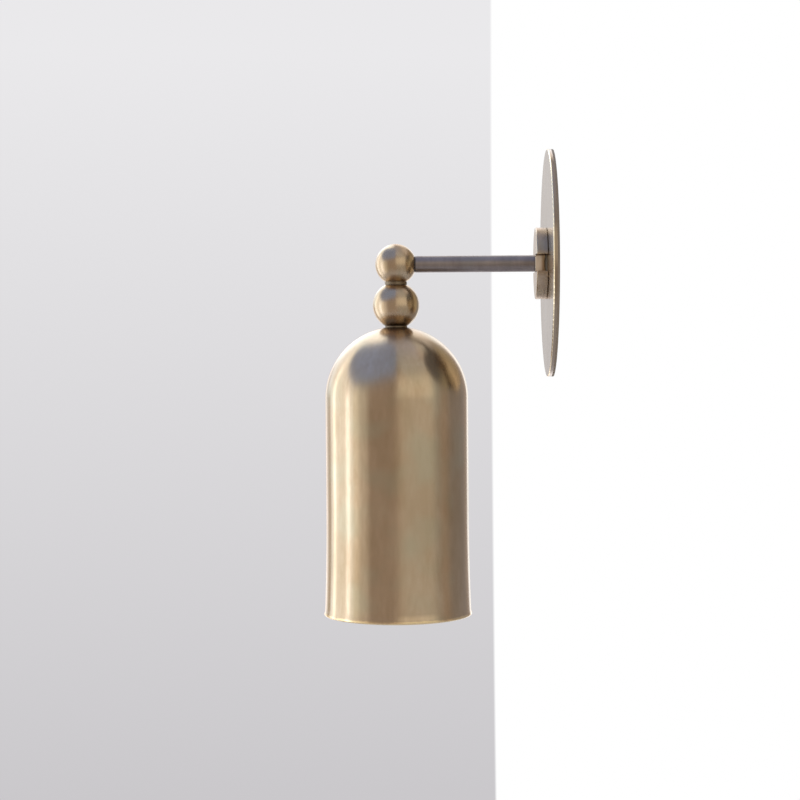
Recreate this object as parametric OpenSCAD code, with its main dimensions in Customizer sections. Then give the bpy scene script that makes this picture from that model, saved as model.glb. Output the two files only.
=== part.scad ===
// Wall lamp with a round plate, a swinging arm, two stacked balls and a bell shade.
// Origin: centre of the back of the plate, on the wall. +Z is up, the lamp stands out along -Y.

/* [Wall plate] */
// Diameter of the brass wall plate
plate_d = 130; // [120:1:160]
// Thickness of the brass wall plate
plate_t = 2.2; // [1.6:0.1:4]
// Rounding of the plate's front edge
plate_round = 0.5; // [0.2:0.1:0.8]
// Width of the gasket ring behind the plate's edge
gasket_w = 7; // [4:0.5:8]

/* [Wall bracket] */
// Thickness of the steel bracket, and of the gasket round it
bracket_t = 1.2; // [1:0.1:2.5]
// Gap between the bracket's edge and the gasket
bracket_gap = 2.5; // [1:0.5:4]
// Distance between the two wall screws, slot centre to slot centre
screw_spacing = 74.4; // [70:0.2:78]
// Width of the wall screw slots
screw_slot_w = 4.6; // [4:0.2:6]
// Length of the wall screw slots, end to end
screw_slot_l = 19.5; // [12:0.5:20]
// Distance between the two hanging studs
stud_spacing = 60; // [54:1:64]
// Diameter of a hanging stud's neck
stud_neck_d = 3.4; // [3:0.1:4]
// Diameter of a hanging stud's head
stud_head_d = 7; // [6:0.2:8]
// Thickness of a hanging stud's head
stud_head_t = 1.2; // [0.8:0.1:2]
// Height that the plate is lifted to come off its studs
stud_lift = 7; // [6:0.5:8]
// Distance of the terminal block and the earth screw from the middle
block_out = 29; // [28:0.5:32]
// Length of the terminal block along its leads
block_l = 14; // [12:0.5:16]
// Width of the terminal block
block_w = 15; // [14:0.5:18]
// Distance between the terminals
terminal_pitch = 8; // [7.6:0.1:9]
// Thread of the earth screw
earth_d = 4; // [3:0.5:5]

/* [Hub] */
// Diameter of the round hub
hub_d = 41; // [38:0.5:46]
// Depth of the hub in front of the plate
hub_depth = 6.6; // [6.4:0.1:9]
// Rounding of the hub's front edge
hub_round = 0.7; // [0.3:0.1:1.2]
// Bevel at the hub's back edge
hub_bevel = 0.35; // [0.1:0.05:0.6]
// Diameter of the threaded spigot behind the hub
spigot_d = 20; // [18:0.5:22]
// Diameter of the wire passage through the spigot
spigot_bore = 13; // [12:0.5:14]
// Length of the spigot behind the plate's front
spigot_l = 8.2; // [7.5:0.1:10]
// Thickness of the hub nut
hub_nut_t = 3; // [2:0.2:4]
// Width of the hub nut across its flats
hub_nut_af = 26; // [25:0.5:28]
// Thickness of the lock washer under the hub nut
lock_washer_t = 0.6; // [0.4:0.1:1]

/* [Arm pivot] */
// Diameter of the pivot screws' thread
pivot_screw_d = 4; // [3.5:0.1:4.5]
// Diameter of the plain point that the arm turns on
pivot_point_d = 3; // [2.4:0.1:3.2]
// Diameter of the friction washers on the points
pivot_washer_d = 6; // [5:0.1:6.2]
// Thickness of the friction washers on the points
pivot_washer_t = 0.5; // [0.3:0.1:0.8]
// Gap above and below the arm in the hub's slot
slot_gap = 0.15; // [0.1:0.05:0.4]
// Rounding diameter of the tongue that ends the arm in the slot, across its flat cheeks
tongue_d = 11.4; // [10.4:0.1:12.4]

/* [Arm] */
// Distance from the wall to the axis of the balls and the shade
reach = 90; // [80:1:130]
// Outer diameter of the arm
arm_d = 9.5; // [9:0.1:11]
// Wall of the arm's tube
arm_wall = 1; // [0.8:0.1:1.2]
// Diameter of the wire passage through the arm's fittings
wire_bore = 4; // [3.8:0.1:4.4]
// Length of the fittings' plugs inside the tube
plug_l = 9; // [6:0.5:14]
// Diameter of the spindle that the upper ball turns on
spindle_d = 6.2; // [6:0.1:6.6]
// Thickness of the friction washer between the arm and the ball
roll_washer_t = 0.4; // [0.3:0.1:0.8]
// Thickness of the clip that holds the ball on the spindle
clip_t = 0.6; // [0.4:0.1:0.8]
// Diameter of the clip that holds the ball on the spindle
clip_d = 8.2; // [7.6:0.1:8.4]

/* [Balls] */
// Diameter of the upper ball
upper_ball_d = 23.6; // [23:0.2:26]
// Diameter of the lower ball
lower_ball_d = 26.8; // [25:0.2:30]
// Diameter of the neck rings between the balls and the shade
neck_d = 12.7; // [12.6:0.1:14]
// Height of the neck ring between the two balls
neck_h = 1.65; // [1.2:0.05:3]
// Diameter of the chamber inside the upper ball
chamber_d = 12.2; // [11.8:0.1:12.4]
// Length of the neck ring's thread inside the chamber
neck_thread_l = 3; // [2:0.1:3.2]
// Outer diameter of the hollow stem
stem_d = 8; // [7.4:0.1:8.4]
// Bore of the hollow stem
stem_bore = 5.4; // [4.8:0.1:5.6]
// Thickness of the flange on the stem's top
stem_flange_t = 1.3; // [1:0.1:1.5]
// Thickness of the spring washer under the flange
spring_washer_t = 0.8; // [0.5:0.1:1]

/* [Shade] */
// Diameter of the shade below its dome
shade_d = 82.4; // [78:0.5:95]
// How far the shade's mouth flares out, on the radius
mouth_flare = 1.2; // [0:0.1:8]
// Height of the shade from its top to its rim
shade_h = 166; // [150:1:200]
// Height over which the shade flares to its mouth
flare_h = 62; // [30:1:70]
// Wall of the spun shade
shade_wall = 1.2; // [0.8:0.1:2]
// Thickness of the ring that the lower ball stands on, at the stem
seat_t = 0.3; // [0.2:0.1:1]
// Diameter of the washer inside the shade's top
cup_washer_d = 18; // [16:0.5:24]
// Thickness of the washer inside the shade's top, at its middle
cup_washer_t = 2; // [1.6:0.1:3]
// Width of the shade nut across its flats
shade_nut_af = 13; // [12:0.5:15]
// Thickness of the shade nut
shade_nut_t = 4; // [3:0.5:6]

/* [Lampholder] */
// Diameter of the lampholder's skirt
holder_d = 38; // [36:0.5:42]
// Height of the lampholder's cap
holder_cap_h = 22; // [21:0.5:26]
// Height of the lampholder's skirt
skirt_h = 34; // [30:0.5:36]
// Wall of the lampholder's cap and skirt
holder_wall = 1.8; // [1.4:0.1:2.2]
// Height of the porcelain core in the lampholder
core_h = 12; // [10:0.5:14]
// Diameter of the porcelain core in the lampholder
core_d = 32; // [30:0.5:32.2]
// Length of the stem's end inside the lampholder's cap
cap_thread_l = 5; // [4:0.5:7]

/* [Bulb] */
// Diameter of the bulb's screw cap
base_d = 26.4; // [25.6:0.1:26.8]
// Height of the bulb's screw cap
base_h = 24; // [22:0.5:26]
// Diameter of the bulb's globe
bulb_d = 45; // [40:0.5:55]
// Length of the bulb from its foot to the end of its globe
bulb_len = 76; // [70:0.5:90]
// Wall of the bulb's globe
globe_wall = 1; // [0.8:0.1:1.6]

/* [Leads] */
// Diameter of one insulated lead
lead_d = 1.6; // [1.2:0.1:1.7]
// Distance between the middles of the two leads
lead_pitch = 1.9; // [1.8:0.05:2]

/* [Hidden] */
// Clearance of a shaft that turns in a bore, on the radius
run_gap = 0.05;
// Clearance of a pin or plug that is fixed in a bore, on the radius
fit_gap = 0.02;
// Clearance between flat faces that slide on each other
slide_gap = 0.05;
// A cutter's overshoot past a face
over = 1;

plate_back = bracket_t;
plate_front = plate_back + plate_t;
hub_front = plate_front + hub_depth;
pivot_out = plate_front + hub_depth / 2;
gasket_id = plate_d - 2 * gasket_w;
bracket_d = gasket_id - 2 * bracket_gap;
bracket_hole_d = hub_nut_af / cos(30) + 2 * bracket_gap;
// Play of a stud's head in its keyhole, and of its neck in the keyhole's slot, on the diameter
head_play = 0.8;
neck_play = 0.4;
keyhole_d = stud_head_d + head_play;
keyslot_w = stud_neck_d + neck_play;
stud_play = 0.2;
earth_washer_t = 0.8;
earth_washer_d = 2.4 * earth_d;
earth_head_t = 2.4;

arm_r = arm_d / 2;
tube_id = arm_d - 2 * arm_wall;
slot_h = arm_d + 2 * slot_gap;
// Play round the friction and spring washers, on the radius
washer_play = 0.1;
knuckle_flat = slot_h / 2 - pivot_washer_t - 2 * slide_gap;
knuckle_back = pivot_out - arm_r;
// Distance from the pivot points to the wire passage, and from the thread to the hub's slot
lead_clear = 0.3;
thread_set_back = 0.4;
point_tip = wire_bore / 2 + lead_clear;
thread_start = slot_h / 2 + thread_set_back;
// The pivot screws end just under the hub's rim
pivot_screw_end = hub_d / 2 - 0.6;
bush_l = 3.5;

upper_r = upper_ball_d / 2;
lower_r = lower_ball_d / 2;
neck_r = neck_d / 2;
// Distance from a ball's centre to a flat of the given radius cut on it
function flat_at(ball_r, flat_r) = sqrt(ball_r * ball_r - flat_r * flat_r);
arm_flat = flat_at(upper_r, arm_r);
upper_flat = flat_at(upper_r, neck_r);
lower_flat = flat_at(lower_r, neck_r);
tube_end = reach - arm_flat - roll_washer_t - 2 * slide_gap;
clip_out = flat_at(chamber_d / 2, clip_d / 2) - slide_gap;
groove_edge = 0.6;
spindle_tip = clip_out - clip_t - groove_edge;
groove_t = 0.4;
clip_room = 1.2;
chamber_top = clip_d / 2 + clip_room;

neck_z = -upper_flat;
neck_bottom = neck_z - neck_h;
neck_thread_top = neck_z + neck_thread_l;
flange_bottom = neck_thread_top + spring_washer_t + slide_gap;
stem_top = flange_bottom + stem_flange_t;
flange_d = chamber_d - 0.6;
lower_z = neck_bottom - slide_gap - lower_flat;
seat_z = lower_z - lower_flat;

shade_r = shade_d / 2;
mouth_r = shade_r + mouth_flare;
dome_top = seat_z - seat_t;
dome_z = dome_top - shade_r;
rim_z = dome_top - shade_h;
inner_r = shade_r - shade_wall;
inner_top = dome_z + inner_r;
cup_bottom = inner_top - cup_washer_t;
shade_nut_bottom = cup_bottom - shade_nut_t;

holder_top = shade_nut_bottom - 0.1;
cap_bottom = holder_top - holder_cap_h;
skirt_bottom = cap_bottom - skirt_h;
stem_bottom = holder_top - cap_thread_l;
core_up = 4;
core_top = cap_bottom + core_up;
core_bottom = core_top - core_h;
holder_bore = holder_d - 2 * holder_wall;
skirt_lip_t = 2;
core_terminal = 4;
terminal_floor = 1;
core_pit_d = 2.2;
core_pit_t = 1;
lead_play = 0.15;
core_terminal_x = 9;
contact_drop = 2.2;
contact_d = 9;
contact_t = 0.7;
contact_stem_d = 3;
bulb_top = core_bottom - contact_drop - 0.1;
shell_wall = 0.4;
shell_gap = 0.3;
shell_d = base_d + 2 * (shell_gap + shell_wall);
shell_h = base_h - 2;

foot_h = 3;
foot_d = base_d - 8;
base_z = bulb_top - foot_h;
base_bottom = base_z - base_h;
globe_r = bulb_d / 2;
globe_z = bulb_top - bulb_len + globe_r;
collar_wall = 1.4;
collar_roof = 2;
collar_bottom = globe_z + 0.55 * globe_r;
collar_h = base_bottom - collar_bottom;
collar_r = flat_at(globe_r, collar_bottom - globe_z);
board_t = 1.6;
board_in = 0.3;
chip_t = 0.8;
chip_w = 2.8;

lead_bend = 3;
lead_gap = 0.3;
wall_bend = 4;
bush_flange_t = 1.2;
// Depth behind the wall plane at which the leads turn, and at which they enter the terminals
lead_straight = 0.5;
lead_exit = spigot_l - plate_front + bush_flange_t + lead_straight;
terminal_depth = lead_exit + wall_bend;
block_above = 4.5;
block_depth = terminal_depth + block_above;
sleeve_d = 4;
sleeve_bore = 2.6;
sleeve_l = block_l - 1;
// How far the lamp's own leads reach into the terminal sleeves
lead_grip = block_l / 3;
terminal_screw_d = 2.5;
terminal_head_d = 3.8;
// Play between a screw head or shank and the recess it sits in
screw_play = 0.2;
block_screw_d = 2.5;
screw_head_t = 1.5;
drive_w = 0.6;
drive_t = 0.6;
recess_t = 2;
head_drop = recess_t - screw_head_t;
block_angle = -45;
earth_angle = -135;
lead_angle = atan((terminal_pitch - lead_pitch) / 2 / (block_out - block_l / 2));

$fn = 96;

// Puts a shape at a distance from the wall, its Z axis pointing into the room
module out(distance) { translate([0, -distance, 0]) rotate([90, 0, 0]) children(); }

// Puts a shape on the axis of the balls and the shade
module on_axis(z) { translate([0, -reach, z]) children(); }

// Copies a shape to both leads of the pair
module lead_pair() { for (side = [-1, 1]) translate([side * lead_pitch / 2, 0, 0]) children(); }

// A round disc with a rounded front edge
module rounded_disc(d, t, r) {
    cylinder(d = d, h = t - r);
    cylinder(d = d - 2 * r, h = t);
    translate([0, 0, t - r]) rotate_extrude() translate([d / 2 - r, 0]) circle(r = r, $fn = 32);
}

// A flat ring
module ring(od, id, t) {
    difference() {
        cylinder(d = od, h = t);
        translate([0, 0, -over]) cylinder(d = id, h = t + 2 * over);
    }
}

// A slot cutter with round ends, along X
module slot_cut(length, width, t) {
    for (side = [-1, 1]) translate([side * (length - width) / 2, 0, -over])
        cylinder(d = width, h = t + 2 * over);
    translate([-(length - width) / 2, -width / 2, -over]) cube([length - width, width, t + 2 * over]);
}

// A straight length of lead, along +Z
module lead_run(l) { cylinder(d = lead_d, h = l, $fn = 32); }

// A quarter turn of lead, that starts along +Z at the origin and ends along +X
module lead_turn(bend) {
    translate([bend, 0, 0]) rotate([0, 0, 180]) rotate([90, 0, 0]) rotate_extrude(angle = 90)
        translate([bend, 0]) circle(d = lead_d, $fn = 32);
}

// A hexagonal nut with a round bore
module hex_nut(af, bore, t) {
    difference() {
        cylinder(d = af / cos(30), h = t, $fn = 6);
        translate([0, 0, -over]) cylinder(d = bore, h = t + 2 * over);
    }
}

module wall_gasket() {
    color("#3b3733") out(0) ring(plate_d, gasket_id, bracket_t);
}

module wall_bracket() {
    color("#a9adb0") out(0) difference() {
        cylinder(d = bracket_d, h = bracket_t);
        translate([0, 0, -over]) cylinder(d = bracket_hole_d, h = bracket_t + 2 * over);
        for (side = [-1, 1]) translate([side * screw_spacing / 2, 0, 0])
            slot_cut(screw_slot_l, screw_slot_w, bracket_t);
        for (side = [-1, 1]) translate([0, side * stud_spacing / 2, 0]) {
            translate([0, stud_lift, -over]) cylinder(d = keyhole_d, h = bracket_t + 2 * over);
            translate([0, stud_lift / 2, 0]) rotate([0, 0, 90])
                slot_cut(stud_lift + keyslot_w, keyslot_w, bracket_t);
        }
        rotate([0, 0, earth_angle]) translate([block_out, 0, -over])
            cylinder(d = earth_d + 2 * fit_gap, h = bracket_t + 2 * over);
        rotate([0, 0, block_angle]) translate([block_out, 0, -over])
            cylinder(d = block_screw_d + 2 * fit_gap, h = bracket_t + 2 * over);
    }
}

module earth_washer() {
    color("#b8bcc0") out(0) rotate([0, 0, earth_angle]) translate([block_out, 0, -earth_washer_t])
        ring(earth_washer_d, earth_d + 2 * fit_gap, earth_washer_t);
}

module earth_screw() {
    color("#5d8a4e") out(0) rotate([0, 0, earth_angle])
        translate([block_out, 0, -earth_washer_t - earth_head_t])
            slotted_screw(2 * earth_d, earth_head_t, earth_d, earth_washer_t + bracket_t);
}

// Puts a shape at the middle of the terminal block's foot, with X away from the plate's middle
module at_block() { out(0) rotate([0, 0, block_angle]) translate([block_out, 0, 0]) children(); }

// Places of the terminal screws, two to each terminal
module at_terminal_screws() {
    for (side = [-1, 1]) for (end = [-1, 1])
        translate([end * block_l / 4, side * terminal_pitch / 2, -block_depth]) children();
}

module terminal_block() {
    color("#e9e7e0") at_block() difference() {
        translate([-block_l / 2, -block_w / 2, -block_depth]) cube([block_l, block_w, block_depth]);
        for (side = [-1, 1]) translate([-block_l / 2 - over, side * terminal_pitch / 2, -terminal_depth])
            rotate([0, 90, 0]) cylinder(d = sleeve_d + 2 * fit_gap, h = block_l + 2 * over);
        translate([0, 0, -over]) at_terminal_screws()
            cylinder(d = terminal_head_d + 2 * screw_play, h = block_depth - terminal_depth + over);
        translate([0, 0, -block_depth - over]) {
            cylinder(d = block_screw_d + 2 * screw_play, h = block_depth + 2 * over);
            cylinder(d = 2 * (block_screw_d + screw_play), h = recess_t + over);
        }
    }
}

module terminal_sleeves() {
    color("#c8a765") at_block() difference() {
        for (side = [-1, 1]) translate([-sleeve_l / 2, side * terminal_pitch / 2, -terminal_depth])
            rotate([0, 90, 0]) cylinder(d = sleeve_d, h = sleeve_l);
        for (side = [-1, 1]) translate([-block_l / 2 - over, side * terminal_pitch / 2, -terminal_depth])
            rotate([0, 90, 0]) cylinder(d = sleeve_bore, h = block_l + 2 * over);
        at_terminal_screws() cylinder(d = terminal_screw_d + 2 * fit_gap, h = block_depth - terminal_depth);
    }
}

// A slotted screw head at the origin, with its shank along +Z
module slotted_screw(head_d, head_t, shank_d, shank_l) {
    difference() {
        cylinder(d = head_d, h = head_t);
        translate([-head_d, -drive_w / 2, -over]) cube([2 * head_d, drive_w, drive_t + over]);
    }
    translate([0, 0, head_t]) cylinder(d = shank_d, h = shank_l);
}

module terminal_screws() {
    shank_l = block_depth - terminal_depth - lead_d / 2 - head_drop - screw_head_t - 0.1;
    color("#b8bcc0") at_block() at_terminal_screws() translate([0, 0, head_drop])
        slotted_screw(terminal_head_d, screw_head_t, terminal_screw_d, shank_l);
}

module block_screw() {
    color("#b8bcc0") at_block() translate([0, 0, head_drop - block_depth])
        slotted_screw(2 * block_screw_d, screw_head_t, block_screw_d, block_depth - recess_t + bracket_t);
}

module backplate() {
    color("#b79c74") out(plate_back) difference() {
        rounded_disc(plate_d, plate_t, plate_round);
        translate([0, 0, -over]) cylinder(d = spigot_d + 2 * fit_gap, h = plate_t + 2 * over);
        for (side = [-1, 1]) translate([0, side * stud_spacing / 2, -over])
            cylinder(d = stud_neck_d + 2 * fit_gap, h = plate_t / 2 + over);
    }
}

module plate_studs() {
    color("#b8bcc0") for (side = [-1, 1]) out(0) translate([0, side * stud_spacing / 2, 0]) {
        translate([0, 0, -stud_play]) cylinder(d = stud_neck_d, h = stud_play + plate_back + plate_t / 2);
        translate([0, 0, -stud_play - stud_head_t]) cylinder(d = stud_head_d, h = stud_head_t);
    }
}

module hub() {
    color("#a8906b") out(plate_front) difference() {
        union() {
            cylinder(d1 = hub_d - 2 * hub_bevel, d2 = hub_d, h = hub_bevel);
            translate([0, 0, hub_bevel]) rounded_disc(hub_d, hub_depth - hub_bevel, hub_round);
            translate([0, 0, -spigot_l]) cylinder(d = spigot_d, h = spigot_l + hub_bevel);
        }
        translate([0, 0, -spigot_l - over]) cylinder(d = spigot_bore, h = spigot_l + over);
        translate([-hub_d, -slot_h / 2, 0]) cube([2 * hub_d, slot_h, hub_depth + over]);
        translate([0, hub_d, hub_depth / 2]) rotate([90, 0, 0])
            cylinder(d = pivot_screw_d + 2 * fit_gap, h = 2 * hub_d);
    }
}

module hub_lock_washer() {
    color("#b8bcc0") out(plate_back - lock_washer_t)
        ring(hub_nut_af, spigot_d + 2 * fit_gap, lock_washer_t);
}

module hub_nut() {
    color("#c3a262") out(plate_back - lock_washer_t - hub_nut_t)
        hex_nut(hub_nut_af, spigot_d + 2 * fit_gap, hub_nut_t);
}

module wire_bush() {
    color("#efeee9") out(plate_front - spigot_l) difference() {
        union() {
            cylinder(d = spigot_bore - 2 * fit_gap, h = bush_l);
            translate([0, 0, -bush_flange_t]) cylinder(d = (spigot_bore + spigot_d) / 2, h = bush_flange_t);
        }
        translate([0, 0, -bush_flange_t - over])
            cylinder(d = wire_bore, h = bush_l + bush_flange_t + 2 * over);
    }
}

// A slotted screw with a plain point, standing on the arm's pivot axis with its point down
module pivot_screw() {
    translate([0, -pivot_out, 0]) {
        translate([0, 0, point_tip]) cylinder(d = pivot_point_d, h = thread_start - point_tip);
        translate([0, 0, pivot_screw_end]) mirror([0, 0, 1]) difference() {
            cylinder(d = pivot_screw_d, h = pivot_screw_end - thread_start);
            translate([-pivot_screw_d, -drive_w / 2, -over])
                cube([2 * pivot_screw_d, drive_w, drive_t + over]);
        }
    }
}

module upper_pivot_screw() { color("#8f7b5b") pivot_screw(); }

module lower_pivot_screw() { color("#8f7b5b") mirror([0, 0, 1]) pivot_screw(); }

module pivot_washers() {
    color("#d8cfb8") for (side = [0, 1]) mirror([0, 0, side])
        translate([0, -pivot_out, slot_h / 2 - pivot_washer_t - slide_gap])
            ring(pivot_washer_d, pivot_point_d + 2 * run_gap, pivot_washer_t);
}

module wall_leads() {
    color("#d9d2c2") out(0) rotate([0, 0, block_angle]) for (side = [-1, 1])
        translate([0, side * lead_pitch / 2, 0]) rotate([0, 0, side * lead_angle]) {
            translate([0, 0, -lead_exit]) lead_run(lead_exit + knuckle_back - lead_gap);
            translate([0, 0, -lead_exit]) rotate([180, 0, 0]) lead_turn(wall_bend);
            translate([wall_bend, 0, -terminal_depth]) rotate([0, 90, 0])
                lead_run(block_out - block_l / 2 + lead_grip - wall_bend);
        }
}

module arm_knuckle() {
    color("#b39468") difference() {
        union() {
            out(hub_front) cylinder(d = tube_id - 2 * fit_gap, h = plug_l);
            intersection() {
                out(knuckle_back) cylinder(d = tongue_d, h = hub_front - knuckle_back);
                translate([0, -pivot_out, -arm_r]) linear_extrude(arm_d) {
                    circle(d = arm_d);
                    translate([-arm_r, pivot_out - hub_front]) square([arm_d, hub_front - pivot_out]);
                }
            }
        }
        out(pivot_out - arm_d) cylinder(d = wire_bore, h = 2 * arm_d + plug_l);
        for (side = [0, 1]) mirror([0, 0, side]) translate([0, -pivot_out, knuckle_flat])
            cylinder(d = pivot_washer_d + 2 * washer_play, h = arm_d);
        translate([0, -pivot_out, -arm_d]) cylinder(d = pivot_point_d + 2 * run_gap, h = 2 * arm_d);
    }
}

module arm_tube() {
    color("#5e4f45") out(hub_front) ring(arm_d, tube_id, tube_end - hub_front);
}

module arm_spindle() {
    color("#b39468") difference() {
        union() {
            out(tube_end - plug_l) cylinder(d = tube_id - 2 * fit_gap, h = plug_l);
            out(tube_end) cylinder(d = spindle_d, h = reach - spindle_tip - tube_end);
        }
        out(tube_end - plug_l - over) cylinder(d = wire_bore, h = reach);
        out(reach - clip_out - slide_gap)
            ring(2 * spindle_d, spindle_d - 2 * groove_t, clip_t + 2 * slide_gap);
    }
}

module spindle_clip() {
    color("#8d9196") out(reach - clip_out) ring(clip_d, spindle_d - 2 * groove_t + 2 * fit_gap, clip_t);
}

module roll_washer() {
    color("#cdbb93") out(tube_end + slide_gap)
        ring(arm_d - 3 * washer_play, spindle_d + 2 * run_gap, roll_washer_t);
}

module arm_leads() {
    color("#d9d2c2") out(knuckle_back + lead_gap) lead_pair()
        lead_run(reach - lead_bend - slide_gap - knuckle_back - lead_gap);
}

module upper_ball() {
    color("#a58c66") on_axis(0) difference() {
        sphere(d = upper_ball_d);
        translate([-upper_r, arm_flat, -upper_r]) cube([upper_ball_d, upper_r, upper_ball_d]);
        translate([-upper_r, -upper_r, neck_z - upper_r]) cube([upper_ball_d, upper_ball_d, upper_r]);
        translate([0, 0, -upper_r]) cylinder(d = chamber_d, h = upper_r + chamber_top);
        rotate([-90, 0, 0]) cylinder(d = spindle_d + 2 * run_gap, h = upper_r);
    }
}

module neck_ring() {
    color("#8f7a5a") on_axis(0) difference() {
        union() {
            translate([0, 0, neck_bottom]) cylinder(d = neck_d, h = neck_h);
            translate([0, 0, neck_z]) cylinder(d = chamber_d - 2 * fit_gap, h = neck_thread_l);
        }
        translate([0, 0, neck_bottom - over])
            cylinder(d = stem_d + 2 * run_gap, h = neck_h + neck_thread_l + 2 * over);
    }
}

module spring_washer() {
    color("#8d9196") on_axis(neck_thread_top)
        ring(chamber_d - 4 * washer_play, stem_d + 4 * washer_play, spring_washer_t);
}

module ball_leads() {
    color("#d9d2c2") translate([0, -reach, 0]) lead_pair() {
        translate([0, lead_bend, 0]) rotate([0, 90, 0]) rotate([90, 0, 0]) lead_turn(lead_bend);
        translate([0, 0, stem_top + slide_gap]) lead_run(-lead_bend - stem_top - slide_gap);
    }
}

module stem() {
    color("#c3a262") on_axis(0) difference() {
        union() {
            translate([0, 0, stem_bottom]) cylinder(d = stem_d, h = flange_bottom - stem_bottom);
            translate([0, 0, flange_bottom]) cylinder(d = flange_d, h = stem_flange_t);
        }
        translate([0, 0, stem_bottom - over])
            cylinder(d = stem_bore, h = stem_top - stem_bottom + 2 * over);
    }
}

module lower_ball() {
    color("#a58c66") on_axis(lower_z) difference() {
        sphere(d = lower_ball_d);
        for (side = [0, 1]) mirror([0, 0, side])
            translate([-lower_r, -lower_r, lower_flat]) cube([lower_ball_d, lower_ball_d, lower_r]);
        translate([0, 0, -lower_ball_d]) cylinder(d = stem_d + 2 * fit_gap, h = 2 * lower_ball_d);
    }
}

module seat_ring() {
    color("#6f5f49") difference() {
        on_axis(seat_z - neck_r) cylinder(d = neck_d, h = neck_r);
        on_axis(dome_z) sphere(r = shade_r + fit_gap, $fn = 180);
        on_axis(seat_z - neck_r - over) cylinder(d = stem_d + 2 * fit_gap, h = neck_r + 2 * over);
    }
}

// Radius of the shade's outside at a height
function shade_r_at(z) = shade_r + (mouth_r - shade_r) * pow(max(0, rim_z + flare_h - z) / flare_h, 2);

// The solid that the shade's outside bounds, drawn in by a wall
module shade_form(wall, below) {
    steps = 8;
    on_axis(dome_z) difference() {
        sphere(r = shade_r - wall, $fn = 180);
        translate([-shade_r, -shade_r, -2 * shade_r]) cube(2 * shade_r);
    }
    on_axis(0) rotate_extrude($fn = 180) polygon(concat(
        [[0, rim_z - below], [0, dome_z], [shade_r - wall, dome_z]],
        [for (i = [0:steps]) let (z = rim_z + flare_h * (1 - i / steps)) [shade_r_at(z) - wall, z]],
        [if (below > 0) [mouth_r - wall, rim_z - below]]
    ));
}

module shade() {
    color("#b2976c") difference() {
        shade_form(0, 0);
        shade_form(shade_wall, over);
        on_axis(inner_top - over) cylinder(d = stem_d + 2 * fit_gap, h = shade_wall + 2 * over);
    }
}

module cup_washer() {
    color("#b8bcc0") difference() {
        intersection() {
            on_axis(cup_bottom) cylinder(d = cup_washer_d, h = cup_washer_t);
            on_axis(dome_z) sphere(r = inner_r - fit_gap, $fn = 180);
        }
        on_axis(cup_bottom - over) cylinder(d = stem_d + 2 * fit_gap, h = cup_washer_t + 2 * over);
    }
}

module shade_nut() {
    color("#c3a262") on_axis(shade_nut_bottom) hex_nut(shade_nut_af, stem_d + 2 * fit_gap, shade_nut_t);
}

// The outside of the lampholder's cap, a straight foot and a cone above it
module cap_form(wall) {
    foot = holder_cap_h / 3;
    below = wall > 0 ? over : 0;
    on_axis(cap_bottom - below) cylinder(d = holder_d - 2 * wall, h = foot + below);
    on_axis(cap_bottom + foot)
        cylinder(d1 = holder_d - 2 * wall, d2 = holder_d / 2 - 2 * wall, h = holder_cap_h - foot - wall);
}

module holder_cap() {
    color("#3c3a38") difference() {
        union() {
            difference() {
                cap_form(0);
                cap_form(holder_wall);
            }
            on_axis(stem_bottom) cylinder(d = stem_d + 2 * holder_wall, h = holder_top - stem_bottom);
        }
        on_axis(stem_bottom - over)
            cylinder(d = stem_d + 2 * fit_gap, h = holder_top - stem_bottom + 2 * over);
    }
}

module holder_core() {
    color("#efeae0") on_axis(0) difference() {
        union() {
            translate([0, 0, cap_bottom])
                cylinder(d = holder_bore - 2 * fit_gap, h = core_top - cap_bottom);
            translate([0, 0, core_bottom]) cylinder(d = core_d, h = cap_bottom - core_bottom);
        }
        for (side = [-1, 1]) translate([side * core_terminal_x, 0, core_top - core_pit_t])
            cylinder(d = core_pit_d, h = core_pit_t + over);
    }
}

module core_terminals() {
    color("#c8a765") on_axis(core_top) for (side = [-1, 1]) translate([side * core_terminal_x, 0, 0])
        difference() {
            translate([-core_terminal / 2, -core_terminal / 2, 0]) cube(core_terminal);
            translate([0, 0, terminal_floor]) cylinder(d = lead_d + 2 * lead_play, h = core_terminal);
            translate([0, 0, core_terminal / 2]) rotate([90, 0, 0])
                cylinder(d = terminal_screw_d + 2 * fit_gap, h = core_terminal);
        }
}

module core_screws() {
    core_head_t = 1.2;
    shank_l = (core_terminal - lead_d) / 2;
    color("#b8bcc0") on_axis(core_top + core_terminal / 2) for (side = [-1, 1])
        translate([side * core_terminal_x, -lead_d / 2 - lead_play, 0]) rotate([90, 0, 0]) {
            cylinder(d = terminal_screw_d, h = shank_l);
            translate([0, 0, shank_l]) cylinder(d = terminal_head_d, h = core_head_t);
        }
}

module holder_skirt() {
    color("#3c3a38") on_axis(0) difference() {
        translate([0, 0, skirt_bottom]) cylinder(d = holder_d, h = skirt_h);
        translate([0, 0, skirt_bottom - over]) cylinder(d = holder_bore, h = skirt_h + over - skirt_lip_t);
        translate([0, 0, skirt_bottom]) cylinder(d = core_d + 2 * fit_gap, h = skirt_h + over);
    }
}

module screw_shell() {
    color("#c3a262") on_axis(core_bottom - shell_h) ring(shell_d, shell_d - 2 * shell_wall, shell_h);
}

module centre_contact() {
    color("#c3a262") on_axis(core_bottom - contact_drop) {
        cylinder(d = contact_d, h = contact_t);
        cylinder(d = contact_stem_d, h = contact_drop);
    }
}

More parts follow.
